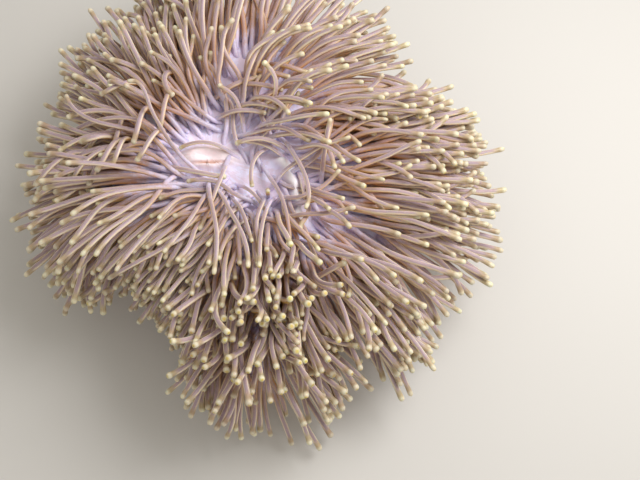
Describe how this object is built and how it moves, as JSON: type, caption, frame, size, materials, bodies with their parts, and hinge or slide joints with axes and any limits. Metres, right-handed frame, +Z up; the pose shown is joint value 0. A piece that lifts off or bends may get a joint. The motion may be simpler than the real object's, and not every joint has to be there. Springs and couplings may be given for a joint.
{
  "type": "magnificent sea anemone",
  "caption": "Life-size sea anemone on its pedal disc, with a fluted column and a wide wavy crown of long blunt tentacles.",
  "frame": {"origin": "middle of the pedal disc's flat underside", "axes": "+Z up through the column to the mouth; -Y is the side of the hanging lobe that faces the viewer, +X is to the viewer's right"},
  "size_m": [0.3775, 0.3976, 0.1575],
  "materials": {
    "column_skin": "satin, moist skin",
    "disc_skin": "glossy, moist skin",
    "lip_skin": "glossy, moist skin",
    "tentacle_skin": "glossy, moist skin"
  },
  "bodies": {
    "root": {"pedal_disc": "column_skin", "column": "column_skin", "oral_disc": "disc_skin", "mouth": "lip_skin", "tentacle_lobe_01": "tentacle_skin", "tentacle_lobe_02": "tentacle_skin", "tentacle_lobe_03": "tentacle_skin", "tentacle_lobe_04": "tentacle_skin", "tentacle_lobe_05": "tentacle_skin", "tentacle_lobe_06": "tentacle_skin", "tentacle_lobe_07": "tentacle_skin", "tentacle_lobe_08": "tentacle_skin", "tentacle_lobe_09": "tentacle_skin", "tentacle_lobe_10": "tentacle_skin", "tentacle_lobe_11": "tentacle_skin", "tentacle_lobe_12": "tentacle_skin"}
  },
  "joints": []
}
